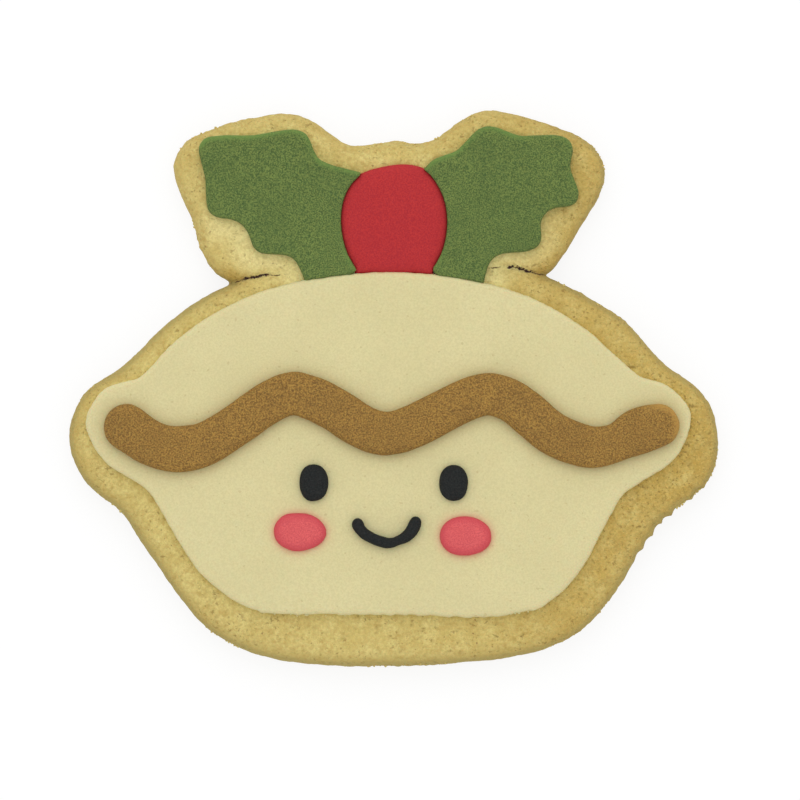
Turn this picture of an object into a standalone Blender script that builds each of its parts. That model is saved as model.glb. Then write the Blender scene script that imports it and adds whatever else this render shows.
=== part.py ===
"""Iced sugar cookie: a baked biscuit cut as a small pie with a holly sprig, topped with pieces of icing.

The biscuit lies flat on its underside, face up. X runs across the pie, Y from its base to the holly, Z up.
The origin is the middle of the footprint, on the surface that the biscuit lies on.
Outlines are in millimetres. A point with a third value, CORNER, is sharp; the curve is smooth at the rest.
"""

import math

import bmesh
import bpy
from mathutils import Vector

MM = 0.001
CORNER = "corner"

# Layers, in millimetres. A shoulder is the width and height of a rounded upper edge.
BISCUIT_THICKNESS = 6.0
SPRIG_THICKNESS = 5.8
BISCUIT_FOOT = 0.9
BISCUIT_SHOULDER = (2.6, 2.6)
SEAM = 0.3
SHEET_THICKNESS = 1.6
SHEET_SHOULDER = (0.6, 0.6)
LEAF_SHOULDER = (0.4, 0.6)
BERRY_THICKNESS = 1.5
BERRY_SHOULDER = (1.3, 1.15)
BAND_THICKNESS = 1.4
BAND_SHOULDER = (0.8, 0.8)
DOT_THICKNESS = 0.9
DOT_SHOULDER = (1.2, 0.65)
SMILE_THICKNESS = 1.0
SMILE_SHOULDER = (0.5, 0.5)

BISCUIT_TOP = BISCUIT_THICKNESS
SHEET_BOTTOM = BISCUIT_TOP + SEAM
SHEET_TOP = SHEET_BOTTOM + SHEET_THICKNESS
DETAIL_BOTTOM = SHEET_TOP + SEAM

# Distance between neighbouring points of an outline, in millimetres
BISCUIT_PITCH = 2.0
SHEET_PITCH = 1.7
LEAF_PITCH = 1.3
DETAIL_PITCH = 0.8

# The pie's dough: a domed lid, a rolled rim at each side and a tapering tray
PIE_DOUGH = [
    (-10.0, 19.4), (-24.0, 16.6), (-35.0, 9.9), (-42.3, 2.7), (-46.2, 0.5), (-49.0, -3.0), (-50.0, -7.4),
    (-49.0, -12.0), (-46.0, -15.9), (-42.3, -18.6), (-30.0, -36.0), (-20.0, -41.3), (0.0, -42.75),
    (21.5, -40.7), (28.0, -37.8), (33.0, -33.0), (41.0, -20.6), (46.8, -16.1), (49.3, -12.6), (50.0, -7.8),
    (48.9, -3.0), (46.0, 0.6), (42.0, 3.3), (36.0, 9.9), (23.5, 17.2), (17.5, 18.9),
]

# The sprig's dough: two leaves that grew in the oven until their lower corners met the lid
SPRIG_DOUGH = [
    (-12.0, 12.0), (-15.0, 15.9), (-19.5, 16.5), (-23.5, 16.0), (-26.6, 17.0), (-28.9, 19.8), (-31.3, 26.6),
    (-34.0, 33.6), (-33.2, 36.5), (-30.8, 38.8), (-16.0, 42.3), (-12.6, 41.1), (-6.8, 37.4), (0.5, 38.1),
    (4.0, 37.6), (7.6, 39.1), (10.8, 41.5), (14.6, 42.8), (29.6, 38.1), (32.0, 35.4), (32.4, 31.6),
    (28.6, 24.8), (24.6, 18.3), (22.0, 17.0), (18.5, 17.6), (14.8, 17.2), (12.0, 12.0),
]

# The pie's cream icing, which leaves a border of dough
PIE_ICING = [
    (-6.5, 17.6), (-20.0, 15.0), (-30.0, 10.0), (-35.0, 5.9), (-39.3, 1.5), (-44.3, 0.0), (-47.4, -5.2),
    (-44.2, -11.6), (-38.9, -14.9), (-37.2, -16.6), (-30.2, -28.0), (-23.2, -33.4), (-18.8, -34.7, CORNER),
    (4.0, -34.9), (16.0, -35.1), (22.6, -33.8, CORNER), (26.8, -30.4), (30.0, -26.0), (35.4, -16.2),
    (40.8, -12.8), (44.0, -9.8), (45.6, -3.6), (41.6, 0.6), (38.2, 1.6), (30.0, 8.7), (20.0, 14.4),
    (7.0, 17.4),
]

LEFT_LEAF = [
    (-5.2, 33.2, CORNER), (-11.8, 35.4), (-13.4, 39.0), (-15.0, 39.8), (-22.0, 38.8), (-29.0, 38.5),
    (-30.0, 37.0), (-29.0, 32.8), (-28.7, 28.0), (-27.8, 26.5), (-25.2, 26.1), (-23.2, 25.1), (-22.1, 23.3),
    (-21.6, 21.7), (-20.4, 20.8), (-16.8, 20.6), (-15.2, 19.8), (-13.8, 16.9, CORNER), (-6.3, 18.0, CORNER),
    (-7.7, 20.7), (-8.55, 27.6), (-6.5, 32.3),
]

RIGHT_LEAF = [
    (5.1, 34.2, CORNER), (6.2, 35.2), (9.6, 36.4), (12.8, 39.7), (14.6, 40.4), (19.4, 38.8), (25.2, 38.9),
    (27.1, 38.1), (27.6, 36.4), (27.0, 34.2), (28.5, 29.9), (27.7, 28.3), (25.2, 27.9), (23.2, 26.9),
    (22.5, 25.0), (22.7, 22.8), (21.4, 21.3), (16.2, 20.7), (14.6, 19.2), (13.9, 16.7, CORNER),
    (6.5, 18.0, CORNER), (7.9, 20.8), (8.6, 27.4), (6.5, 32.7),
]

BERRY = [
    (-4.8, 33.1), (0.6, 34.4), (4.8, 33.7), (7.3, 30.4), (8.2, 27.4), (8.25, 24.2), (7.5, 20.9),
    (6.0, 18.2, CORNER), (-5.8, 18.2, CORNER), (-7.3, 20.8), (-8.15, 24.4), (-8.15, 27.5), (-7.4, 30.2),
    (-6.1, 32.1),
]

# The band of brown icing: its middle line, and half its width there
BAND_LINE = [
    (-41.1, -6.0, 3.5), (-37.9, -8.2, 3.4), (-33.3, -9.4, 3.5), (-28.5, -8.3, 3.3), (-22.0, -4.1, 3.15),
    (-15.7, -0.8, 3.3), (-8.9, -3.4, 3.3), (-4.3, -6.2, 3.3), (0.0, -6.9, 3.3), (8.5, -3.1, 3.2),
    (14.3, -0.9, 3.2), (18.8, -2.4, 3.2), (24.0, -6.7, 3.3), (30.4, -9.1, 3.15), (34.6, -8.2, 2.95),
    (37.2, -6.8, 3.5), (40.6, -5.7, 3.3),
]

# The face: (middle x, middle y), half width, half height, by how much the egg is blunter towards -X,
# and the power that fills out its corners where it is less than 1
LEFT_EYE = ((-12.3, -14.57), 2.17, 2.77, 0.03, 0.9)
RIGHT_EYE = ((9.2, -14.6), 2.15, 2.72, -0.02, 0.9)
LEFT_CHEEK = ((-14.45, -22.1), 4.0, 2.87, 0.1, 0.97)
RIGHT_CHEEK = ((11.05, -22.75), 3.95, 3.0, 0.05, 0.97)
DOT_POINTS = 26

# The rope that makes the mouth, laid like the band
SMILE_LINE = [
    (-5.6, -20.95, 0.86), (-5.0, -21.95, 0.78), (-3.7, -22.93, 0.78), (-1.8, -23.65, 0.8),
    (-0.6, -23.85, 0.72), (0.6, -23.45, 0.68), (1.65, -23.0, 0.8), (2.55, -22.2, 0.88), (3.1, -21.2, 0.94),
    (3.35, -20.7, 0.88),
]


def spline(points, closed, steps=16):
    """Points along a centripetal Catmull-Rom curve through points, steps of them in each span."""
    line = [Vector(p) for p in points]
    count = len(line)
    made = []
    for i in range(count if closed else count - 1):
        if closed:
            around = [line[(i + k) % count] for k in (-1, 0, 1, 2)]
        else:
            before = line[i - 1] if i else 2 * line[0] - line[1]
            after = line[i + 2] if i + 2 < count else 2 * line[-1] - line[-2]
            around = [before, line[i], line[i + 1], after]
        knots = [0.0]
        for a, b in zip(around, around[1:]):
            knots.append(knots[-1] + math.sqrt((b - a).length))
        for s in range(steps):
            at = knots[1] + (knots[2] - knots[1]) * s / steps
            row, reach = around, 1
            while len(row) > 1:
                row = [
                    a + (b - a) * ((at - knots[j]) / (knots[j + reach] - knots[j]))
                    for j, (a, b) in enumerate(zip(row, row[1:]))
                ]
                reach += 1
            made.append(row[0])
    return made if closed else made + [line[-1]]


def spaced(line, pitch):
    """The open line read at equal steps of about pitch, both ends kept."""
    lengths = [0.0]
    for a, b in zip(line, line[1:]):
        lengths.append(lengths[-1] + (b - a).length)
    count = max(1, round(lengths[-1] / pitch))
    made, i = [], 0
    for n in range(count + 1):
        at = lengths[-1] * n / count
        while i < len(lengths) - 2 and lengths[i + 1] < at:
            i += 1
        made.append(line[i].lerp(line[i + 1], (at - lengths[i]) / (lengths[i + 1] - lengths[i])))
    return made


def outline(points, pitch):
    """A closed outline through points, anticlockwise, smooth except at its corners."""
    corners = [i for i, p in enumerate(points) if len(p) == 3]
    if not corners:
        smooth = spline(points, closed=True)
        made = spaced(smooth + smooth[:1], pitch)[:-1]
    else:
        made = []
        for start, end in zip(corners, corners[1:] + [corners[0] + len(points)]):
            span = [points[i % len(points)][:2] for i in range(start, end + 1)]
            made += spaced(spline(span, closed=False), pitch)[:-1]
    area = sum(a.cross(b) for a, b in zip(made, made[1:] + made[:1])) / 2
    return made if area > 0 else made[::-1]


def ribbon(points, pitch):
    """The outline of a band with round ends, from its middle line of (x, y, half width)."""
    read = spaced(spline(points, closed=False), pitch)
    line, widths = [p.xy for p in read], [p.z for p in read]
    ahead = [(b - a).normalized() for a, b in zip(line[:1] + line[:-1], line[1:] + line[-1:])]
    sides = [Vector((-d.y, d.x)) * w for d, w in zip(ahead, widths)]
    cap_steps = max(4, round(math.pi * widths[0] / pitch))

    def cap(middle, side):
        """The round end, from one side of the band to the other."""
        turns = [math.pi * n / cap_steps for n in range(1, cap_steps)]
        along = Vector((side.y, -side.x))
        return [middle + side * math.cos(t) + along * math.sin(t) for t in turns]

    left = [p + s for p, s in zip(line, sides)]
    right = [p - s for p, s in zip(line, sides)]
    made = left + cap(line[-1], sides[-1]) + right[::-1] + cap(line[0], -sides[0])
    return made[::-1]


def egg(middle, half_width, half_height, blunter, power):
    """An oval outline, blunter on one side than on the other."""
    made = []
    for n in range(DOT_POINTS):
        turn = 2 * math.pi * n / DOT_POINTS
        across, up = (math.copysign(abs(side) ** power, side) for side in (math.cos(turn), math.sin(turn)))
        height = half_height * (1 - blunter * math.cos(turn))
        made.append(Vector((middle[0] + half_width * across, middle[1] + height * up)))
    return made


def inset(bm, face, steps):
    """Insets face by each (width, rise) step, in millimetres."""
    for width, rise in steps:
        bmesh.ops.inset_region(bm, faces=[face], thickness=width * MM, depth=rise * MM, use_even_offset=True)


def quarter_round(width, height, count):
    """The (width, rise) steps of an elliptical shoulder, from the upright wall to the flat top."""
    turns = [math.pi / 2 * n / count for n in range(count + 1)]
    return [
        (width * (math.cos(a) - math.cos(b)), height * (math.sin(b) - math.sin(a)))
        for a, b in zip(turns, turns[1:])
    ]


def material(name, colour, roughness):
    """A matt surface. The colour is linear RGB."""
    made = bpy.data.materials.new(name)
    made.use_nodes = True
    shader = made.node_tree.nodes["Principled BSDF"]
    shader.inputs["Base Color"].default_value = (*colour, 1.0)
    shader.inputs["Roughness"].default_value = roughness
    shader.inputs["Metallic"].default_value = 0.0
    return made


def slab(name, shape, bottom, top, shoulder, steps, look, foot=0.0):
    """A piece of constant outline: upright walls, a rounded upper edge and, with a foot, a rounded lower one.

    steps is the number of facets of the upper edge.
    """
    width, height = shoulder
    bm = bmesh.new()
    base = bm.faces.new([bm.verts.new((p.x * MM, p.y * MM, (bottom + foot) * MM)) for p in shape])
    raised = bmesh.ops.extrude_face_region(bm, geom=[base])["geom"]
    lid = next(f for f in raised if isinstance(f, bmesh.types.BMFace))
    bmesh.ops.translate(bm, vec=(0, 0, (top - height - bottom - foot) * MM), verts=lid.verts)
    bmesh.ops.recalc_face_normals(bm, faces=bm.faces)
    inset(bm, lid, quarter_round(width, height, steps))
    if foot:
        inset(bm, next(f for f in bm.faces if f.normal.z < -0.9), quarter_round(foot, foot, 2))
    mesh = bpy.data.meshes.new(name)
    bm.to_mesh(mesh)
    bm.free()
    mesh.shade_smooth()
    mesh.set_sharp_from_angle(angle=math.radians(40))
    made = bpy.data.objects.new(name, mesh)
    bpy.context.scene.collection.objects.link(made)
    made.data.materials.append(look)
    return made


def biscuit(look):
    """The baked dough: the pie and the sprig, grown together, with a crease where they met."""
    pie_shape, sprig_shape = outline(PIE_DOUGH, BISCUIT_PITCH), outline(SPRIG_DOUGH, BISCUIT_PITCH)
    pie = slab("biscuit", pie_shape, 0.0, BISCUIT_THICKNESS, BISCUIT_SHOULDER, 4, look, BISCUIT_FOOT)
    sprig = slab("sprig_dough", sprig_shape, 0.0, SPRIG_THICKNESS, BISCUIT_SHOULDER, 4, look, BISCUIT_FOOT)
    sprig.hide_render = True
    sprig.display_type = "WIRE"
    union = pie.modifiers.new("grown_together", "BOOLEAN")
    union.operation = "UNION"
    union.solver = "EXACT"
    union.object = sprig
    return pie


def icing_sheets(cream, green, red):
    """The pieces cut from rolled icing that lie on the biscuit."""
    slab("pie_icing", outline(PIE_ICING, SHEET_PITCH), SHEET_BOTTOM, SHEET_TOP, SHEET_SHOULDER, 3, cream)
    for name, points in (("left_leaf", LEFT_LEAF), ("right_leaf", RIGHT_LEAF)):
        slab(name, outline(points, LEAF_PITCH), SHEET_BOTTOM, SHEET_TOP, LEAF_SHOULDER, 2, green)
    berry_top = SHEET_BOTTOM + BERRY_THICKNESS
    slab("berry", outline(BERRY, LEAF_PITCH), SHEET_BOTTOM, berry_top, BERRY_SHOULDER, 4, red)


def icing_details(brown, black, pink):
    """The band and the face, which lie on the pie's icing."""
    band = ribbon(BAND_LINE, SHEET_PITCH)
    slab("wavy_band", band, DETAIL_BOTTOM, DETAIL_BOTTOM + BAND_THICKNESS, BAND_SHOULDER, 3, brown)
    dots = (
        ("left_eye", LEFT_EYE, black), ("right_eye", RIGHT_EYE, black),
        ("left_cheek", LEFT_CHEEK, pink), ("right_cheek", RIGHT_CHEEK, pink),
    )
    for name, sizes, look in dots:
        slab(name, egg(*sizes), DETAIL_BOTTOM, DETAIL_BOTTOM + DOT_THICKNESS, DOT_SHOULDER, 4, look)
    rope = ribbon(SMILE_LINE, DETAIL_PITCH)
    slab("smile", rope, DETAIL_BOTTOM, DETAIL_BOTTOM + SMILE_THICKNESS, SMILE_SHOULDER, 3, black)


def main():
    for old in list(bpy.data.objects):
        bpy.data.objects.remove(old)
    biscuit(material("baked_dough", (0.57, 0.43, 0.15), 0.85))
    icing_sheets(
        cream=material("cream_icing", (0.69, 0.62, 0.33), 0.6),
        green=material("green_icing", (0.12, 0.20, 0.05), 0.7),
        red=material("red_icing", (0.48, 0.03, 0.04), 0.6),
    )
    icing_details(
        brown=material("brown_icing", (0.33, 0.18, 0.05), 0.7),
        black=material("black_icing", (0.015, 0.02, 0.022), 0.6),
        pink=material("pink_icing", (0.74, 0.13, 0.15), 0.6),
    )


main()
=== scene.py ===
"""The looks of the iced sugar cookie: crumbly baked dough and soft, finely grained rolled icing.

Shapes are worked out in millimetres, in the frame of the CAD model, and each outline is read from its node.
"""

import itertools
import math

import bmesh
import bpy
import numpy as np
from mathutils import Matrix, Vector
from mathutils.geometry import delaunay_2d_cdt
from mathutils.kdtree import KDTree


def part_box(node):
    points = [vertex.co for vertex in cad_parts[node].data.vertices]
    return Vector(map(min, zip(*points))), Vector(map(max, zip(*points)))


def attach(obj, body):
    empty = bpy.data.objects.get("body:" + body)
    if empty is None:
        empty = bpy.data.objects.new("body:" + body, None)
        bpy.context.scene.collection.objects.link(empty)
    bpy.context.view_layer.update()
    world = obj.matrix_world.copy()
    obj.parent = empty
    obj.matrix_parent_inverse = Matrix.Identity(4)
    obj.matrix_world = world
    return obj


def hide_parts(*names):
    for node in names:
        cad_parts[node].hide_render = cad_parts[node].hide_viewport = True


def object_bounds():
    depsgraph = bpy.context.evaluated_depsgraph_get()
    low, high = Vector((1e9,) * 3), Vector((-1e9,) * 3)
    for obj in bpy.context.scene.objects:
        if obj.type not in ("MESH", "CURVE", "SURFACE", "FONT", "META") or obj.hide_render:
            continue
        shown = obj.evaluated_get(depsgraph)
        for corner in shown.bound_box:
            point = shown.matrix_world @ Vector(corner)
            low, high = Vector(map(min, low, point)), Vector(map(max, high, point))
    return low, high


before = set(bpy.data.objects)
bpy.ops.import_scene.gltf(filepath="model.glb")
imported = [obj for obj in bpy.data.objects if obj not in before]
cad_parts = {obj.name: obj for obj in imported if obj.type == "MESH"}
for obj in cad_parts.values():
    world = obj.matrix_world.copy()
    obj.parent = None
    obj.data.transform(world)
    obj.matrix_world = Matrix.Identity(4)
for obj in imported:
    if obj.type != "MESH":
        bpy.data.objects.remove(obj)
cad_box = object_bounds()

MM = 0.001
random = np.random.default_rng(24)

# Relief, each noise as (size of its lumps, height, seed): what the icing follows, and what only the dough has
UNEVEN = (21, 0.09, 3), (9, 0.045, 4)
CRUMB = (1.5, 0.07, 1), (0.75, 0.055, 2), (4.5, 0.10, 5)
SIDE_CRUMB = (1.1, 0.06, 6), (2.6, 0.06, 7), (0.65, 0.06, 8)
CRUMBLY_PATCHES = 9.0, 18

# The dough, in millimetres: its voxels, its foot and top, and where its middle and its sprig are
VOXEL, SMOOTHINGS = 0.3, 14
FOOT, DOUGH_TOP = 0.9, 6.0
MIDDLE, SPRIG_FROM = -2.0, 16.0
IS_TOP, FAR = 0.3, 9.0
RISE_TO_ICING = 0.25
PITS, PIT_REACH, PIT_GROWTH, PIT_DEPTH = 1500, 0.2, 0.22, 0.14
HIDDEN_DEPTH = 1.2

# Each crease: its course, and (width, depth) of its valley and of the groove in it
CREASE_LENGTH, CREASE_RISE, CREASE_BOW, CREASE_STRAY = 8.6, 1.2, 0.45, 0.22
VALLEY, GROOVE = (0.8, 0.28), (0.26, 0.34)

# The broken stretch of the lower right rim: where it starts, its direction, its length and its bites
CHIPPED_FROM, CHIPPED_TURN, CHIPPED_LENGTH = np.array([36.6, -26.8]), math.radians(46), 17.5
CHIPPED_EASE = 1.5
BITE_LENGTH, BITE_DEPTH, BITE_BULGE = 2.7, 0.6, 0.3

# Loose bits: how many there are
BURNT_CRUMBS, RIM_CRUMBS, ICING_CRUMBS = 22, 420, 26

# Icing: (width, height) of the rounded upper edge, and the distance between mesh points
CREAM_EDGE, CREAM_PITCH = (0.75, 0.55), 0.5
LEAF_EDGE, LEAF_PITCH = (0.36, 0.3), 0.36
BERRY_EDGE, BERRY_PITCH = (2.3, 0.95), 0.36
BAND_EDGE, BAND_PITCH = (1.3, 0.95), 0.36
DOT_EDGE, DOT_PITCH = (1.5, 0.7), 0.25
SMILE_EDGE, SMILE_PITCH = (0.75, 0.75), 0.16
EDGE_STEPS, WALL_ROWS, WALL_BULGE = 6, 4, 0.06

# How far the icing reaches down into what it lies on, and how far its top lies under the node's top
CREAM_SEAT, SPRIG_SEAT, DETAIL_SEAT = 0.35, 0.6, 0.45
CREAM_SINK, LEAF_SINK, BERRY_SINK, DETAIL_SINK = 0.24, 0.2, 0.05, 0.10
OVERLAP = 0.06

# Icing outlines stay sharp where they turn by more than this. The band's end gets a painted highlight from one X
# to the other.
SHARP = math.radians(75)
BAND_HIGHLIGHT_SPAN = 37, 41

# The tints that the cream icing takes from what is beside it, and painted shade in soft halos around the eyes, the
# smile and the band: attribute, reach in millimetres, nodes
TINTS = (
    ("near_pink", 0.55, ("left_cheek", "right_cheek")),
    ("near_green", 0.4, ("left_leaf", "right_leaf")),
    ("near_red", 0.4, ("berry",)),
    ("painted_shade_by_dark", 0.7, ("left_eye", "right_eye", "smile")),
    ("painted_shade_by_band", 1.1, ("wavy_band",)),
)

# Light: strengths, and the key lamp's place and width in metres
SKY, KEY = 0.895, 1.45
KEY_PLACE, KEY_WIDTH = (-0.08, 0.55, 0.62), 0.7

# The floor, in metres, which glows a little where it is seen, and its gap below the biscuit in millimetres
FLOOR_SIZE, FLOOR_GAP = 6.0, 0.02
FLOOR_GLOW, FLOOR_GLOW_SHARE = 1.05, 0.8

# The camera: the width that it sees at the icing's top and its offset in millimetres, its height in metres
VIEW_WIDTH = 123.1
AIM = (0.92, -1.77)
CAMERA_HEIGHT = 5.0
SENSOR = 36


# ---------------------------------------------------------------- noise and outlines

def wobble(points, size, seed):
    """Smooth noise from -1 to 1 at points of any dimension, with lumps of about size."""
    at = np.asarray(points, float) / size + 31.7 * seed
    cell = np.floor(at).astype(np.int64)
    part = at - cell
    part = part * part * part * (part * (part * 6 - 15) + 10)
    total = np.zeros(len(at))
    for corner in itertools.product((0, 1), repeat=at.shape[1]):
        key = np.full(len(at), seed * 374761393, np.int64)
        weight = np.ones(len(at))
        for axis, step in enumerate(corner):
            key ^= (cell[:, axis] + step) * (73856093, 19349663, 83492791)[axis]
            weight *= part[:, axis] if step else 1 - part[:, axis]
        key = (key ^ (key >> 13)) * 1274126177 & 0xFFFFFFF
        key = (key ^ (key >> 11)) * 668265263 & 0xFFFFFFF
        total += weight * ((key >> 4) & 0xFFFF) / 0x7FFF
    return total - 1


def relief(points, layers):
    """The sum of noises, each given as (size of its lumps, height, seed)."""
    return sum(height * wobble(points, size, seed) for size, height, seed in layers)


def smoothstep(values, low, high):
    share = np.clip((values - low) / (high - low), 0, 1)
    return share * share * (3 - 2 * share)


def cut(node, height=0.001):
    """The node's outline at a height above its base, anticlockwise, in millimetres."""
    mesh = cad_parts[node].data
    mesh.calc_loop_triangles()
    points = np.array([v.co for v in mesh.vertices]) / MM
    level = points[:, 2].min() + height
    crossings = []
    for triangle in points[np.array([t.vertices for t in mesh.loop_triangles])]:
        above = triangle[:, 2] > level
        if above.all() or not above.any():
            continue
        ends = []
        for a, b in ((0, 1), (1, 2), (2, 0)):
            if above[a] != above[b]:
                share = (level - triangle[a, 2]) / (triangle[b, 2] - triangle[a, 2])
                ends.append((triangle[a] + share * (triangle[b] - triangle[a]))[:2])
        crossings.append(ends)
    crossings = np.array(crossings)
    line, rest = list(crossings[0]), crossings[1:]
    while len(rest):
        gaps = np.linalg.norm(rest - line[-1], axis=2)
        row, end = divmod(int(gaps.argmin()), 2)
        line.append(rest[row, 1 - end])
        rest = np.delete(rest, row, axis=0)
    kept = [line[0]]
    for point in line[1:]:
        if np.linalg.norm(point - kept[-1]) > 0.05 and np.linalg.norm(point - kept[0]) > 0.05:
            kept.append(point)
    kept = np.array(kept)
    return kept if area(kept) > 0 else kept[::-1]


def area(loop):
    after = np.roll(loop, -1, axis=0)
    return (loop[:, 0] * after[:, 1] - loop[:, 1] * after[:, 0]).sum() / 2


def turns(loop):
    """The angle that a closed outline turns by at each point, positive to the left."""
    into, out = loop - np.roll(loop, 1, axis=0), np.roll(loop, -1, axis=0) - loop
    cross = into[:, 0] * out[:, 1] - into[:, 1] * out[:, 0]
    return np.arctan2(cross, (into * out).sum(1))


def curve(points, steps=12):
    """A centripetal Catmull-Rom curve through points, whose first and last only give directions."""
    made = []
    for around in zip(points, points[1:], points[2:], points[3:]):
        roots = [np.sqrt(np.linalg.norm(b - a)) for a, b in zip(around, around[1:])]
        knots = np.concatenate([[0], np.cumsum(roots)])
        at = np.linspace(knots[1], knots[2], steps, endpoint=False)[:, None]
        row, reach = list(around), 1
        while len(row) > 1:
            row = [
                a + (b - a) * ((at - knots[j]) / (knots[j + reach] - knots[j]))
                for j, (a, b) in enumerate(zip(row, row[1:]))
            ]
            reach += 1
        made.append(row[0])
    return np.concatenate(made)


def respaced(line, pitch):
    """An open line read at equal steps of about pitch, without its last point."""
    lengths = np.concatenate([[0], np.cumsum(np.linalg.norm(np.diff(line, axis=0), axis=1))])
    at = np.linspace(0, lengths[-1], max(2, round(lengths[-1] / pitch)), endpoint=False)
    return np.stack([np.interp(at, lengths, line[:, axis]) for axis in (0, 1)], axis=1)


def smoothed(loop, pitch, sharpest):
    """The outline as a smooth curve, kept sharp where it turns by more than sharpest radians."""
    corners = np.flatnonzero(np.abs(turns(loop)) > sharpest)
    if not len(corners):
        closed = np.concatenate([loop[-1:], loop, loop[:2]])
        return respaced(np.concatenate([curve(closed), loop[:1]]), pitch)
    made = []
    for start, end in zip(corners, np.append(corners[1:], corners[0] + len(loop))):
        span = loop[np.arange(start, end + 1) % len(loop)]
        eased = np.concatenate([[2 * span[0] - span[1]], span, [2 * span[-1] - span[-2]]])
        made.append(respaced(np.concatenate([curve(eased), span[-1:]]), pitch))
    return np.concatenate(made)


def outward(loop):
    along = np.roll(loop, -1, axis=0) - np.roll(loop, 1, axis=0)
    along /= np.linalg.norm(along, axis=1)[:, None]
    return np.stack([along[:, 1], -along[:, 0]], axis=1)


def away_from(points, loop):
    """The step to each point from the closest place on a closed outline."""
    start, span = loop, np.roll(loop, -1, axis=0) - loop
    length = (span ** 2).sum(1)
    steps = []
    for block in np.array_split(points, max(1, len(points) // 1500)):
        away = block[:, None] - start
        away -= np.clip((away * span).sum(2) / length, 0, 1)[..., None] * span
        steps.append(away[np.arange(len(block)), (away ** 2).sum(2).argmin(1)])
    return np.concatenate(steps)


def distance(points, loop):
    """How far each point is from a closed outline."""
    return np.linalg.norm(away_from(points, loop), axis=1)


def inside(points, loop):
    x, y = points[:, :1], points[:, 1:2]
    a, b = loop, np.roll(loop, -1, axis=0)
    crosses = (a[:, 1] > y) != (b[:, 1] > y)
    with np.errstate(divide="ignore", invalid="ignore"):
        at = a[:, 0] + (y - a[:, 1]) / (b[:, 1] - a[:, 1]) * (b[:, 0] - a[:, 0])
    return (crosses & (x < at)).sum(1) % 2 == 1


def depth(points, loop):
    """Distance from the outline, positive inside it and negative outside."""
    return np.where(inside(points, loop), 1, -1) * distance(points, loop)


# ---------------------------------------------------------------- meshes

def piece(name, points, faces, look, slot, nodes=(), **attributes):
    """A piece made from points in millimetres. Attributes are numbers, one for each point."""
    mesh = bpy.data.meshes.new(name)
    mesh.from_pydata((points * MM).tolist(), [], faces)
    for key, values in attributes.items():
        mesh.attributes.new(key, "FLOAT", "POINT").data.foreach_set("value", values.astype(np.float32))
    mesh.shade_smooth()
    made = bpy.data.objects.new(name, mesh)
    bpy.context.scene.collection.objects.link(made)
    made.data.materials.append(look)
    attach(made, "root")
    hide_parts(*nodes)
    return made


def triangulated(points, count):
    """(points, triangles, sources) inside the closed outline that the first count points make.

    sources lists, for each point, the given points that it stands for.
    """
    made = delaunay_2d_cdt([Vector(p) for p in points], [], [list(range(count))], 1, 1e-5)
    return np.array([tuple(v) for v in made[0]]), [list(f) for f in made[2]], made[3]


def filled(loop, pitch, edge_width):
    """(points, triangles, rim) of an outline: rings over edge_width, and a grid inside. rim numbers its points."""
    count = len(loop)
    parts = [loop]
    for step in range(1, EDGE_STEPS + 1):
        inset = edge_width * (1 - math.cos(math.pi / 2 * step / EDGE_STEPS))
        ring = loop - outward(loop) * inset
        parts.append(ring[depth(ring, loop) > 0.96 * inset])
    low, high = loop.min(0), loop.max(0)
    rows = np.arange(low[1], high[1], pitch * math.sqrt(3) / 2)
    grid = np.array([
        (x, y) for i, y in enumerate(rows) for x in np.arange(low[0] + pitch / 2 * (i % 2), high[0], pitch)
    ])
    parts.append(grid[depth(grid, loop) > edge_width + 0.4 * pitch])
    points, faces, source = triangulated(np.concatenate(parts), count)
    where = {ids[0]: i for i, ids in enumerate(source) if ids}
    rim = [where[i] for i in range(count)]
    return points, faces, rim


def solid(loop, pitch, edge, low, top):
    """(points, faces, depths) of a closed slab with a rounded upper edge, from low up to its surface.

    top gives the height of the surface at points in plan. depths are distances from the outline.
    """
    width, height = edge
    plan, faces, rim = filled(loop, pitch, width)
    depths = distance(plan, loop)
    rounding = height * (1 - np.sqrt(np.clip(1 - (1 - np.clip(depths / width, 0, 1)) ** 2, 0, 1)))
    upper = np.column_stack([plan, top(plan) - rounding])
    rings, out = [rim], outward(loop)
    points = [upper]
    edge_height = upper[rim, 2]
    for row in range(1, WALL_ROWS + 1):
        share = row / WALL_ROWS
        swell = WALL_BULGE * math.sin(math.pi * share)
        rings.append([len(upper) + (row - 1) * len(loop) + i for i in range(len(loop))])
        points.append(np.column_stack([loop + out * swell, edge_height + (low - edge_height) * share]))
    for above, below in zip(rings, rings[1:]):
        for i in range(len(loop)):
            j = (i + 1) % len(loop)
            faces.append([above[i], below[i], below[j], above[j]])
    _, base, source = triangulated(loop, len(loop))
    faces += [[rings[-1][source[i][0]] for i in reversed(face)] for face in base]
    return np.concatenate(points), faces, np.concatenate([depths, np.zeros(WALL_ROWS * len(loop))])


# ---------------------------------------------------------------- materials

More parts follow.
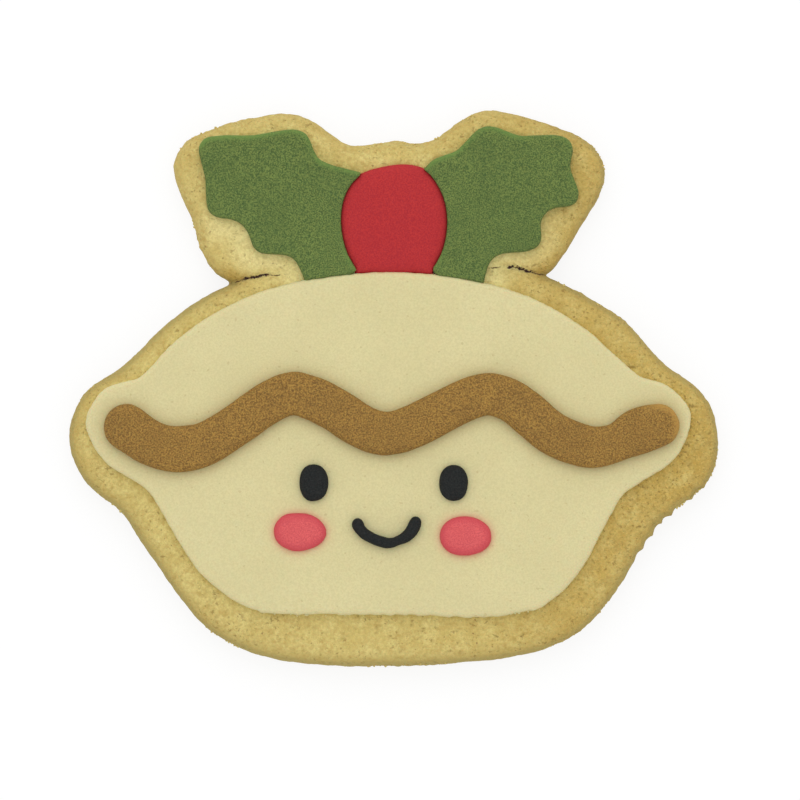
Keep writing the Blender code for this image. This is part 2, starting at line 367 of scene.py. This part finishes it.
class Look:
    """A Principled material, and short ways to build the nodes behind its sockets."""

    def __init__(self, name, roughness, specular):
        self.material = bpy.data.materials.new(name)
        self.material.use_nodes = True
        self.tree = self.material.node_tree
        self.shader = self.tree.nodes["Principled BSDF"]
        self.set(self.shader, Roughness=roughness)
        self.shader.inputs["Specular IOR Level"].default_value = specular
        self.places = self.node("ShaderNodeTexCoord").outputs["Object"]

    def node(self, kind, **settings):
        made = self.tree.nodes.new(kind)
        for key, value in settings.items():
            setattr(made, key, value)
        return made

    def set(self, node, **inputs):
        """Sets inputs by name, from numbers, colours or other nodes' outputs."""
        for key, value in inputs.items():
            self.put(node.inputs[key.replace("_", " ")], value)

    def put(self, socket, value):
        if isinstance(value, bpy.types.NodeSocket):
            self.tree.links.new(value, socket)
        elif isinstance(value, tuple) and len(value) == 3 and socket.type == "RGBA":
            socket.default_value = (*value, 1.0)
        else:
            socket.default_value = value

    def noise(self, size, detail, roughness):
        """Noise from 0 to 1, with lumps of about size in millimetres."""
        made = self.node("ShaderNodeTexNoise")
        self.set(made, Vector=self.places, Scale=1 / (size * MM), Detail=detail, Roughness=roughness)
        return made.outputs["Fac"]

    def ramp(self, value, low, high, smooth=True):
        """value, from 0 at low to 1 at high."""
        made = self.node("ShaderNodeMapRange", interpolation_type="SMOOTHSTEP" if smooth else "LINEAR")
        self.set(made, Value=value, From_Min=low, From_Max=high)
        return made.outputs["Result"]

    def blotches(self, size, detail, roughness, low, high, smooth=True):
        """0 where noise is under low, and 1 where it is over high."""
        return self.ramp(self.noise(size, detail, roughness), low, high, smooth)

    def math(self, operation, a, b=0.0):
        made = self.node("ShaderNodeMath", operation=operation)
        self.put(made.inputs[0], a)
        self.put(made.inputs[1], b)
        return made.outputs[0]

    def times(self, a, b):
        return self.math("MULTIPLY", a, b)

    def mix(self, share, a, b):
        """Colour a, or colour b where share is 1."""
        made = self.node("ShaderNodeMix", data_type="RGBA")
        self.put(made.inputs["Factor"], share)
        self.put(made.inputs[6], a)
        self.put(made.inputs[7], b)
        return made.outputs[2]

    def attribute(self, name):
        return self.node("ShaderNodeAttribute", attribute_name=name).outputs["Fac"]

    def bump(self, height, distance, normal=None):
        """Relief of a height, from 0 to 1, over a distance in millimetres."""
        made = self.node("ShaderNodeBump")
        self.set(made, Strength=1.0, Distance=distance * MM, Height=height)
        if normal:
            self.set(made, Normal=normal)
        return made.outputs["Normal"]

    def finish(self, colour, normal, weight=0.0, reach=1.0):
        """Sets the shader's colour and normal, and the light that passes through, reach in millimetres."""
        self.put(self.shader.inputs["Base Color"], colour)
        if normal:
            self.set(self.shader, Normal=normal)
        if weight:
            self.set(self.shader, Subsurface_Weight=weight, Subsurface_Scale=reach * MM)
        return self.material


def dough_look():
    look = Look("baked_dough", 0.85, 0.2)
    rim, brown, pale = look.attribute("rim"), look.attribute("brown"), look.attribute("pale")
    colour = look.mix(look.blotches(2.6, 3, 0.6, 0.3, 0.7), (0.760, 0.640, 0.242), (0.670, 0.535, 0.182))
    # Painted shade: the dough darkens towards its rounded rim
    colour = look.mix(rim, colour, (0.550, 0.430, 0.140))
    colour = look.mix(look.times(brown, look.blotches(2.6, 4, 0.7, 0.10, 0.65)), colour, (0.530, 0.350, 0.080))
    # Paler dough below the leaves: partly its own tone, partly painted light against the shade between leaf and
    # cream
    colour = look.mix(pale, colour, (0.870, 0.755, 0.330))

    # Crumb: a fine grain, freckles, light and dark crumbs where it is brown, painted shade for clusters of small
    # holes, specks, and painted shade in the pits, each with its share and tint. The pale dough has less of it.
    grain = look.blotches(0.48, 4, 0.75, 0.36, 0.64)
    freckles = look.blotches(1.1, 3, 0.65, 0.52, 0.68)
    light_crumbs = look.times(brown, look.blotches(0.38, 3, 0.75, 0.50, 0.64))
    dark_crumbs = look.times(brown, look.blotches(0.60, 4, 0.75, 0.50, 0.64))
    hole_shade = look.times(look.blotches(0.6, 2, 0.6, 0.58, 0.68), look.blotches(2.4, 1, 0.5, 0.40, 0.6))
    specks = look.blotches(0.5, 0, 0.5, 0.80, 0.84)
    plain = look.math("SUBTRACT", 1.0, look.times(pale, 0.3))
    for mark, share, tint in (
        (grain, 0.46, (0.430, 0.305, 0.085)),
        (freckles, 0.40, (0.450, 0.290, 0.075)),
        (light_crumbs, 0.58, (0.740, 0.530, 0.150)),
        (dark_crumbs, 0.72, (0.330, 0.230, 0.055)),
        (hole_shade, 0.55, (0.250, 0.160, 0.045)),
        (specks, 0.55, (0.190, 0.100, 0.035)),
        # Painted shade in the pits
        (look.attribute("pit"), 0.30, (0.300, 0.200, 0.060)),
    ):
        colour = look.mix(look.times(look.times(mark, plain), share), colour, tint)

    # Painted shade: a darker olive still at the silhouette, where the rim turns down
    colour = look.mix(look.times(look.ramp(rim, 0.70, 1.0), 0.4), colour, (0.330, 0.280, 0.100))

    # Painted shade in the crack along each crease, and scorched dough there, at distances from its line that stray
    # a little
    stray = look.math("SUBTRACT", look.noise(0.9, 3, 0.7), 0.5)
    gap = look.math("ABSOLUTE", look.math("ADD", look.attribute("gap"), look.times(stray, 0.55)))
    # Painted shade: a dark line in the crack
    crack = look.times(look.ramp(gap, 0.15, 0.05), look.attribute("crack"))
    crack = look.times(crack, look.blotches(1.1, 1, 0.5, 0.36, 0.5))
    colour = look.mix(crack, colour, (0.12, 0.07, 0.03))
    scorch = look.times(look.ramp(gap, 0.40, 0.16), look.attribute("burn"))
    scorch = look.times(scorch, look.blotches(0.7, 2, 0.6, 0.45, 0.58))
    colour = look.mix(scorch, colour, (0.045, 0.020, 0.022))

    fine = look.bump(look.noise(0.48, 4, 0.75), 0.14)
    return look.finish(colour, look.bump(look.noise(1.1, 3, 0.6), 0.18, fine), 0.08, 1.0)


def cream_look():
    look = Look("cream_icing", 0.55, 0.3)
    colour = look.mix(look.blotches(9, 2, 0.5, 0.3, 0.7), (0.725, 0.654, 0.348), (0.700, 0.630, 0.332))
    grain = look.blotches(0.28, 2, 0.6, 0.3, 0.7)
    flecks = look.blotches(0.6, 0, 0.5, 0.785, 0.82)
    for mark, share, tint in (
        (grain, 0.30, (0.490, 0.430, 0.210)),
        (flecks, 0.30, (0.42, 0.31, 0.12)),
        (look.attribute("near_pink"), 0.55, (0.72, 0.34, 0.22)),
        (look.attribute("near_green"), 0.40, (0.42, 0.44, 0.18)),
        (look.attribute("near_red"), 0.50, (0.60, 0.20, 0.13)),
        # Painted shade: soft halos around the eyes, the smile and the band
        (look.attribute("painted_shade_by_dark"), 0.25, (0.36, 0.33, 0.17)),
        (look.attribute("painted_shade_by_band"), 0.34, (0.44, 0.33, 0.13)),
    ):
        colour = look.mix(look.times(mark, share), colour, tint)
    fine = look.bump(look.noise(0.5, 2, 0.6), 0.014)
    return look.finish(colour, look.bump(look.noise(3.5, 2, 0.5), 0.05, fine), 0.15, 1.5)


def grained_look(name, light, dark, roughness, grain, height, rim=None, tip=None):
    """Rolled icing with a grain of two shades, grain wide and height high in millimetres.

    rim is the colour of painted shade towards the outline, where attribute "edge" is the distance from it, and the
    highlight argument the colour of a painted highlight where the attribute of that name is 1.
    """
    look = Look(name, roughness, 0.2)
    colour = look.mix(look.blotches(grain, 3, 0.7, 0.38, 0.62, smooth=False), dark, light)
    for size, strength in ((6.0, 0.18), (1.1, 0.16)):
        colour = look.mix(look.times(look.blotches(size, 2, 0.5, 0.3, 0.7), strength), colour, dark)
    # Painted shade towards the outline, where a rim colour is given
    if rim:
        colour = look.mix(look.times(look.ramp(look.attribute("edge"), 1.5, 0.0), 0.65), colour, rim)
    # A painted highlight where the light would catch the edge
    if tip:
        colour = look.mix(look.times(look.attribute("tip"), 0.7), colour, tip)
    return look.finish(colour, look.bump(look.noise(grain, 2, 0.7), height), 0.1, 1.0)


def burnt_look():
    look = Look("burnt_crumb", 0.75, 0.2)
    colour = look.mix(look.blotches(0.3, 2, 0.6, 0.45, 0.7), (0.028, 0.012, 0.016), (0.12, 0.06, 0.03))
    return look.finish(colour, look.bump(look.noise(0.25, 2, 0.6), 0.06))


# ---------------------------------------------------------------- the biscuit

def remeshed(node):
    """(points, normals, faces) of a CAD node's shape in even, smoothed voxels."""
    source = bpy.data.objects.new("voxels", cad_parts[node].data.copy())
    bpy.context.scene.collection.objects.link(source)
    voxels = source.modifiers.new("voxels", "REMESH")
    voxels.mode = "VOXEL"
    voxels.voxel_size = VOXEL * MM
    even = source.modifiers.new("even", "SMOOTH")
    even.factor = 0.5
    even.iterations = SMOOTHINGS
    mesh = source.evaluated_get(bpy.context.evaluated_depsgraph_get()).to_mesh()
    points = np.empty(len(mesh.vertices) * 3)
    mesh.vertices.foreach_get("co", points)
    normals = np.empty(len(mesh.vertices) * 3)
    mesh.vertices.foreach_get("normal", normals)
    faces = [list(f.vertices) for f in mesh.polygons]
    bpy.data.objects.remove(source)
    return points.reshape(-1, 3) / MM, normals.reshape(-1, 3), faces


def notches(loop):
    """The two points where the pie's outline meets the sprig's, left one first."""
    sharp = loop[np.argsort(turns(loop))[:2]]
    return sharp[np.argsort(sharp[:, 0])]


def crease(notch, side):
    """(line, shares) of a crease, from outside the notch inwards. side is 1 on the left and -1 on the right."""
    share = np.linspace(-0.3, 1, 60)
    line = notch + share[:, None] * np.array([CREASE_LENGTH * side, CREASE_RISE])
    line[:, 1] += CREASE_STRAY * wobble(line, 1.6, 9) + CREASE_BOW * np.sin(np.clip(share, 0, 1) * math.pi)
    return line, share


def creased(plan, top, loop):
    """The creases' lines, and what they do at each point.

    That is its "drop", its signed distance or "gap" from the line, and shares of "burn", of "toast" and of the
    painted shade along its cracked line.
    """
    marks = {name: np.zeros(len(plan)) for name in ("drop", "crack", "burn", "toast")}
    marks["gap"] = np.full(len(plan), FAR)
    lines = []
    for notch, side in zip(notches(loop), (1, -1)):
        line, share = crease(notch, side)
        lines.append((line, share))
        from_notch = np.linalg.norm(plan - notch, axis=1)
        close = np.flatnonzero((from_notch < CREASE_LENGTH + 3) & (top > 0.05))
        away = plan[close, None] - line
        gaps = np.linalg.norm(away, axis=2)
        nearest = gaps.argmin(1)
        gap, along = gaps.min(1), share[nearest]
        way = np.gradient(line, axis=0)[nearest]
        offset = away[np.arange(len(close)), nearest]
        sign = np.sign(way[:, 0] * offset[:, 1] - way[:, 1] * offset[:, 0]) * side
        hollow = sum(deep * np.exp(-(gap / wide) ** 2) for wide, deep in (VALLEY, GROOVE))
        marks["drop"][close] = top[close] * hollow * (1 - smoothstep(along, 0.5, 1.0))
        marks["gap"][close] = sign * gap
        marks["crack"][close] = smoothstep(along, -0.1, 0.05) * (1 - smoothstep(along, 0.9, 1.0))
        marks["burn"][close] = smoothstep(along, 0.1, 0.22) * (1 - smoothstep(along, 0.55, 0.68))
        marks["toast"][close] = smoothstep(sign * gap, -0.4, 0.4) * np.exp(-(from_notch[close] / 3.2) ** 2)
    return lines, marks


def chips(plan, heights, edge):
    """How far the broken stretch of the rim moves points outwards, in the direction that it faces."""
    along = np.array([math.cos(CHIPPED_TURN), math.sin(CHIPPED_TURN)])
    facing = np.array([along[1], -along[0]])
    run, across = (plan - CHIPPED_FROM) @ along, (plan - CHIPPED_FROM) @ facing
    bites = np.abs(np.sin(math.pi * (run / BITE_LENGTH + 0.6 * wobble(run[:, None], 4.0, 15))))
    amount = (BITE_BULGE - BITE_DEPTH * bites) * (0.65 + 0.35 * np.clip(heights / DOUGH_TOP, 0, 1))
    here = smoothstep(run, 0, CHIPPED_EASE)
    here *= 1 - smoothstep(run, CHIPPED_LENGTH - CHIPPED_EASE, CHIPPED_LENGTH)
    here *= (across > -6) * (1 - smoothstep(edge, 0.3, 2.2))
    return np.outer(amount * here, facing)


def covered(plan, top):
    """How far each point of the top is under the icing, or negative beside it."""
    cover = np.full(len(plan), -FAR)
    high_up = np.flatnonzero(top > IS_TOP)
    for node in ("pie_icing", "left_leaf", "right_leaf", "berry"):
        shape = cut(node)
        close = high_up[((plan[high_up] > shape.min(0) - 5) & (plan[high_up] < shape.max(0) + 5)).all(1)]
        cover[close] = np.maximum(cover[close], depth(plan[close], shape))
    return cover


def pitted(plan, bare, loop):
    """How far each point is into a random pit, from 0 to 1 at its middle. Only the points in bare can be."""
    pit = np.zeros(len(plan))
    tree = KDTree(len(bare))
    for i in bare:
        tree.insert((*plan[i], 0), i)
    tree.balance()
    low, high = loop.min(0), loop.max(0)
    for x, y, size in random.random((PITS, 3)) * (*(high - low), 1) + (*low, 0):
        reach = PIT_REACH + PIT_GROWTH * size ** 3
        for _, i, gap in tree.find_range((x, y, 0), reach):
            pit[i] = max(pit[i], 1 - (gap / reach) ** 2)
    return pit


def baked(plan, heights, top, edge, toast):
    """(rim, brown, pale) of each point.

    The right side and the rims took more heat. rim is painted shade towards the rounded edge, and the dough below
    the leaves is paler, partly its own tone and partly painted light that lifts the shade between leaf and cream.
    """
    x, y = plan[:, 0], plan[:, 1]
    right, sprig = smoothstep(x, 0, 40), smoothstep(y, SPRIG_FROM, SPRIG_FROM + 4)
    outer = 1 - smoothstep(edge, 0.5, 3.5)
    brown = 0.06 + 0.8 * right * (1 - 0.3 * outer) + 0.10 * outer * sprig + 0.8 * toast
    brown += 0.5 * smoothstep(-heights, -3.5, -0.5) + 0.22 * smoothstep(np.abs(x - MIDDLE), 38, 46)
    brown += 0.25 * smoothstep(np.abs(x - MIDDLE), 22, 30) * smoothstep(-y, 32, 36) * outer
    # Painted light: the dough below the leaves is made paler, partly its own tone and partly a lift against the
    # shade between leaf and cream
    pale = np.zeros(len(plan))
    for node in ("left_leaf", "right_leaf"):
        leaf = cut(node)
        close = np.flatnonzero((top > IS_TOP) & (y > leaf[:, 1].min() - 3) & (edge > 0))
        below = smoothstep(leaf[:, 1].mean() - y[close], 0, 6)
        inner = 1 - smoothstep(np.abs(x[close] - MIDDLE), 24, 30)
        beside = 1 - smoothstep(distance(plan[close], leaf), 1.5, 5.5)
        pale[close] = np.maximum(pale[close], below * (0.3 + 0.7 * inner) * beside)
    pale *= smoothstep(edge, 0.2, 2.5) * (1 - 0.55 * smoothstep(x, 16, 23))
    # Painted shade: darker towards the rounded rim, less so on the left of the sprig
    rim = (1 - smoothstep(edge, 0.1, 2.4)) * (1 - 0.6 * sprig * (1 - right))
    return rim, np.clip(brown, 0, 1) * (1 - pale), pale


def biscuit(look):
    """The dough. Gives its outline, the creases' lines, and (plan, heights, top) of its points."""
    points, normals, faces = remeshed("biscuit")
    loop = smoothed(cut("biscuit", FOOT + 0.005), 0.5, math.radians(60))
    plan = points[:, :2].copy()
    top, under = smoothstep(normals[:, 2], 0.2, 0.8), smoothstep(-normals[:, 2], 0.3, 0.9)
    edge = depth(plan, loop)
    cover = covered(plan, top)

    # Crumb, a rough side, and dough that rises towards the icing
    rough = relief(points, CRUMB) * (1 - under)
    crumbly = 0.6 + 1.2 * smoothstep(wobble(plan, *CRUMBLY_PATCHES), -0.1, 0.5)
    rough += (1 - top - under) * crumbly * relief(points, SIDE_CRUMB)
    points = points + normals * rough[:, None]
    rise = RISE_TO_ICING * smoothstep(cover, -2.5, -0.2) * smoothstep(edge, 0.8, 2.5)
    points[:, 2] += top * (relief(plan, UNEVEN) + rise)
    points[:, :2] += chips(plan, points[:, 2], edge) * (1 - under)[:, None]

    pit = pitted(plan, np.flatnonzero((top > IS_TOP) & (cover < 0.5)), loop)
    lines, marks = creased(plan, top, loop)
    points[:, 2] = np.maximum(points[:, 2] - PIT_DEPTH * pit - marks["drop"], 0)

    rim, brown, pale = baked(plan, points[:, 2], top, edge, marks["toast"])
    made = piece(
        "biscuit_dough", points, faces, look, "baked_dough", ["biscuit"], rim=rim, brown=brown, pale=pale,
        pit=pit, gap=marks["gap"], crack=marks["crack"], burn=marks["burn"],
    )
    thin_out(made, (cover > HIDDEN_DEPTH) | ((points[:, 2] < 0.05) & (edge > 1.5)))
    return loop, lines, (plan, points[:, 2], top)


def thin_out(made, hidden):
    """Merges the faces whose points are all hidden into a few large ones."""
    bm = bmesh.new()
    bm.from_mesh(made.data)
    plain = [f for f in bm.faces if all(hidden[v.index] for v in f.verts)]
    bmesh.ops.dissolve_faces(bm, faces=plain, use_verts=True)
    bmesh.ops.triangulate(bm, faces=[f for f in bm.faces if len(f.verts) > 4])
    bm.to_mesh(made.data)
    bm.free()


def crumbs(name, places, look, slot, node):
    """Small angular lumps, as one piece. places holds (x, y, z, size) for each, in millimetres."""
    bm = bmesh.new()
    bmesh.ops.create_icosphere(bm, subdivisions=2, radius=1)
    ball = np.array([v.co for v in bm.verts])
    sides = np.array([[v.index for v in f.verts] for f in bm.faces])
    bm.free()
    points, faces = [], []
    for i, (x, y, z, size) in enumerate(places):
        turn = random.random() * math.pi
        c, s = math.cos(turn), math.sin(turn)
        spin = np.array([[c, -s, 0], [s, c, 0], [0, 0, 1]])
        lump = ball * (1 + 0.45 * wobble(ball, 0.8, 80 + i))[:, None] * (1 + 0.5 * random.random(), 0.8, 0.75)
        faces.append(sides + len(ball) * i)
        points.append(lump @ spin.T * size + (x, y, z))
    piece(name, np.concatenate(points), np.concatenate(faces).tolist(), look, slot, [node])


def burnt_crumbs(look, lines, surface):
    """Dark crumbs caught in the outer half of each crease."""
    plan, heights, top = surface
    places = []
    for line, share in lines:
        for at in 0.22 + 0.42 * random.random(BURNT_CRUMBS):
            x, y = line[np.abs(share - at).argmin()] + random.normal(0, 0.12, 2)
            under = (((plan - (x, y)) ** 2).sum(1) + 100 * (top < IS_TOP)).argmin()
            places.append((x, y, heights[under] + 0.03, 0.08 + 0.16 * random.random() ** 2))
    crumbs("burnt_crumbs", places, look, "baked_dough", "biscuit")


def rim_crumbs(look, loop):
    """Crumbs that stick out of the biscuit's side, in patches."""
    places = []
    crumbly = np.flatnonzero(wobble(loop, *CRUMBLY_PATCHES) > -0.15)
    for i in random.choice(crumbly, RIM_CRUMBS):
        size = 0.1 + 0.24 * random.random() ** 2
        x, y = loop[i] - outward(loop)[i] * (size * 0.6 + 0.06)
        places.append((x, y, FOOT + 3.2 * random.random(), size))
    crumbs("rim_crumbs", places, look, "baked_dough", "biscuit")


# ---------------------------------------------------------------- the icing

def ragged(loop, amount, size, seed):
    return loop + outward(loop) * (amount * wobble(loop, size, seed))[:, None]


def near(points, shape, reach):
    """From 1 at an outline, and inside it, to 0 far away."""
    gap = np.maximum(-depth(points, shape), 0)
    return np.exp(-(gap / reach) ** 1.4)


def meeting(loop, *others):
    """The outline, with the parts that face other icing closely moved to just past that one's edge."""
    for other in others:
        way = -away_from(loop, other)
        gap = np.maximum(np.linalg.norm(way, axis=1), 0.02)
        facing = smoothstep((way * outward(loop)).sum(1) / gap, 0.2, 0.7)
        loop = loop + way * (facing * (1 - smoothstep(gap, 0.7, 1.2)) * (gap + OVERLAP) / gap)[:, None]
    return loop


def eased(loop, times, sharpest):
    """The outline with its bends rounded, except where it turns by more than sharpest radians."""
    kept = np.abs(turns(loop)) > sharpest
    for _ in range(times):
        middle = (np.roll(loop, 1, axis=0) + loop + np.roll(loop, -1, axis=0)) / 3
        loop = np.where(kept[:, None], loop, middle)
    return loop


# Masks for painted highlights, on edges that face a way given
def lit(points, loop, depths, width, way):
    """From 1 where the outline faces the way given, in millimetres, to 0 further in than width."""
    rise = (depths - depth(points[:, :2] + way, loop)) / math.hypot(*way)
    return (1 - smoothstep(depths, 0.1, width)) * smoothstep(rise, 0, 0.7)


def node_top(node):
    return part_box(node)[1].z / MM


def top_of(node, sink, *layers):
    """A function that gives the height of icing at points in plan: sink below its node's top, with relief."""
    height = node_top(node) - sink
    return lambda plan: height + relief(plan, UNEVEN + layers)


def cream_sheet(look):
    loop = smoothed(cut("pie_icing"), 0.32, SHARP)
    lowest = loop[:, 1].min()
    tatty = 1 - smoothstep(loop[:, 1], lowest + 0.3, lowest + 3)
    frayed = 0.045 * wobble(loop, 0.6, 24) + tatty * 0.2 * np.clip(wobble(loop, 1.1, 22), -0.2, 1)
    loop = ragged(loop, 0.05, 3.0, 21) + outward(loop) * frayed[:, None]
    surface = top_of("pie_icing", CREAM_SINK, (2.2, 0.012, 23))
    points, faces, _ = solid(loop, CREAM_PITCH, CREAM_EDGE, DOUGH_TOP - CREAM_SEAT, surface)
    tints = {
        name: np.max([near(points[:, :2], cut(node), reach) for node in nodes], axis=0)
        for name, reach, nodes in TINTS
    }
    piece("cream_sheet", points, faces, look, "cream_icing", ["pie_icing"], **tints)

    # Scraps along two stretches of its lower edge
    tatters = loop[(tatty > 0.6) & (np.abs(np.abs(loop[:, 0] - 4) - 17) < 6)]
    picked = tatters[random.integers(0, len(tatters), ICING_CRUMBS)] + random.normal(0, 0.08, (ICING_CRUMBS, 2))
    sizes = 0.08 + 0.12 * random.random(ICING_CRUMBS) ** 2
    heights = node_top("pie_icing") - 1.0 + relief(picked, UNEVEN)
    places = np.column_stack([picked - (0, 0.08), heights, sizes])
    crumbs("icing_crumbs", places, look, "cream_icing", "pie_icing")


def leaf_icing(node, look, seed):
    loop = eased(smoothed(cut(node), 0.3, math.radians(80)), 4, math.radians(40))
    loop = meeting(ragged(loop, 0.05, 1.6, seed), cut("pie_icing"), cut("berry"))
    surface = top_of(node, LEAF_SINK, (0.5, 0.02, 33), (2.5, 0.03, 34))
    points, faces, depths = solid(loop, LEAF_PITCH, LEAF_EDGE, DOUGH_TOP - SPRIG_SEAT, surface)
    # Painted highlight: lighter green along the upper edges that face the key lamp
    painted_sunlit_edge = lit(points, loop, depths, 1.0, (0, 0.5)) * (0.6 + 0.4 * wobble(points[:, :2], 5, 35))
    piece(node + "_icing", points, faces, look, "green_icing", [node], tip=painted_sunlit_edge)


def berry_icing(look):
    loop = meeting(ragged(smoothed(cut("berry"), 0.3, SHARP), 0.04, 2.5, 41), cut("pie_icing"))
    flat = top_of("berry", BERRY_SINK, (0.6, 0.012, 42))
    middle, half = loop.mean(0), np.ptp(loop, axis=0) / 2

    def dome(plan):
        reach = np.linalg.norm((plan - middle) / half, axis=1)
        return flat(plan) - 0.18 * np.clip(reach, 0, 1) ** 3

    points, faces, _ = solid(loop, BERRY_PITCH, BERRY_EDGE, DOUGH_TOP - SPRIG_SEAT, dome)
    piece("berry_icing", points, faces, look, "red_icing", ["berry"])


def detail(name, node, look, slot, edge, pitch, spacing, rag, hollow=0.0, grain=0.012):
    """A piece on the pie's icing. rag is (amount, size, seed) of its outline's unevenness, at points spacing
    apart, hollow is how far its middle sinks, and grain is the height of its relief.
    """
    loop = ragged(smoothed(cut(node), spacing, SHARP), *rag)
    flat = top_of(node, DETAIL_SINK, (0.5, grain, rag[2] + 1))
    widest = distance(loop.mean(0)[None], loop)[0]

    def surface(plan):
        return flat(plan) - hollow * (1 - np.clip(distance(plan, loop) / widest, 0, 1)) ** 2

    points, faces, depths = solid(loop, pitch, edge, node_top("pie_icing") - DETAIL_SEAT, surface)
    # Painted highlight on the upper rim of the band's right end
    tip = smoothstep(points[:, 0], *BAND_HIGHLIGHT_SPAN) * lit(points, loop, depths, 1.2, (0.4, 0.3))
    piece(name, points, faces, look, slot, [node], edge=depths, tip=tip)


def face_icing(black, pink):
    for seed, side in enumerate(("left", "right")):
        eye, cheek = side + "_eye", side + "_cheek"
        rag = 0.04, 1.5, 61 + seed
        detail(eye + "_icing", eye, black, "black_icing", DOT_EDGE, DOT_PITCH, 0.2, rag, 0.15)
        rag = 0.08, 2.0, 65 + seed
        detail(cheek + "_icing", cheek, pink, "pink_icing", DOT_EDGE, DOT_PITCH, 0.22, rag, 0.2)
    detail("smile_icing", "smile", black, "black_icing", SMILE_EDGE, SMILE_PITCH, 0.16, (0.05, 1.4, 71))


# ---------------------------------------------------------------- light and camera

def studio():
    world = bpy.data.worlds.new("studio")
    bpy.context.scene.world = world
    world.use_nodes = True
    tree = world.node_tree
    sky = tree.nodes["Background"]
    sky.inputs["Color"].default_value = (1, 1, 1, 1)
    seen = tree.nodes.new("ShaderNodeLightPath")
    level = tree.nodes.new("ShaderNodeMapRange")
    level.inputs["To Min"].default_value = SKY
    level.inputs["To Max"].default_value = 1.0
    tree.links.new(seen.outputs["Is Camera Ray"], level.inputs["Value"])
    tree.links.new(level.outputs["Result"], sky.inputs["Strength"])

    lamp = bpy.data.lights.new("key", "AREA")
    lamp.shape = "DISK"
    lamp.size = KEY_WIDTH
    lamp.energy = KEY
    key = bpy.data.objects.new("key", lamp)
    key.location = KEY_PLACE
    key.rotation_euler = (-key.location).to_track_quat("-Z", "Y").to_euler()
    bpy.context.scene.collection.objects.link(key)


def table():
    look = Look("table", 0.9, 0.0)
    floor_look = look.finish((0.85, 0.85, 0.85), None)
    glow = look.node("ShaderNodeEmission")
    look.set(glow, Strength=FLOOR_GLOW)
    seen = look.node("ShaderNodeLightPath")
    views = look.math("MAXIMUM", seen.outputs["Is Camera Ray"], seen.outputs["Is Glossy Ray"])
    views = look.math("MAXIMUM", views, seen.outputs["Is Transmission Ray"])
    both = look.node("ShaderNodeMixShader")
    look.put(both.inputs[0], look.times(views, FLOOR_GLOW_SHARE))
    look.put(both.inputs[1], look.shader.outputs[0])
    look.put(both.inputs[2], glow.outputs[0])
    look.put(look.tree.nodes["Material Output"].inputs["Surface"], both.outputs[0])
    bpy.ops.mesh.primitive_plane_add(size=FLOOR_SIZE, location=(0, 0, -FLOOR_GAP * MM))
    floor = bpy.context.object
    floor.name = "table"
    floor.data.materials.append(floor_look)


def camera():
    low, high = cad_box
    data = bpy.data.cameras.new("above")
    data.sensor_width = SENSOR
    data.lens = SENSOR * (CAMERA_HEIGHT - high.z) / (VIEW_WIDTH * MM)
    made = bpy.data.objects.new("above", data)
    made.location = ((low.x + high.x) / 2 + AIM[0] * MM, (low.y + high.y) / 2 + AIM[1] * MM, CAMERA_HEIGHT)
    bpy.context.scene.collection.objects.link(made)
    bpy.context.scene.camera = made


def main():
    bpy.context.scene.view_settings.view_transform = "Standard"
    dough = dough_look()
    loop, lines, surface = biscuit(dough)
    burnt_crumbs(burnt_look(), lines, surface)
    rim_crumbs(dough, loop)

    cream_sheet(cream_look())
    # The green's last colour is a painted highlight on the leaves' upper edges
    green = grained_look(
        "green_icing", (0.210, 0.275, 0.068), (0.054, 0.099, 0.029), 0.8, 0.21, 0.08, tip=(0.165, 0.285, 0.065),
    )
    for seed, node in enumerate(("left_leaf", "right_leaf"), 30):
        leaf_icing(node, green, seed)
    berry_icing(grained_look("red_icing", (0.530, 0.035, 0.034), (0.390, 0.020, 0.028), 0.7, 0.24, 0.04))
    # The brown's last colour is a painted highlight on the upper rim of the band's right end
    brown = grained_look(
        "brown_icing", (0.455, 0.262, 0.058), (0.165, 0.088, 0.025), 0.8, 0.25, 0.09, tip=(0.50, 0.29, 0.07),
    )
    detail(
        "band_icing", "wavy_band", brown, "brown_icing", BAND_EDGE, BAND_PITCH, 0.3, (0.06, 2.2, 51),
        grain=0.025,
    )
    face_icing(
        grained_look("black_icing", (0.025, 0.026, 0.025), (0.008, 0.010, 0.010), 0.8, 0.22, 0.02),
        grained_look(
            "pink_icing", (0.780, 0.140, 0.138), (0.600, 0.084, 0.096), 0.7, 0.22, 0.03,
            # painted shade on the cheeks' rounded rims
            rim=(0.57, 0.060, 0.082),
        ),
    )
    studio()
    table()
    camera()


main()
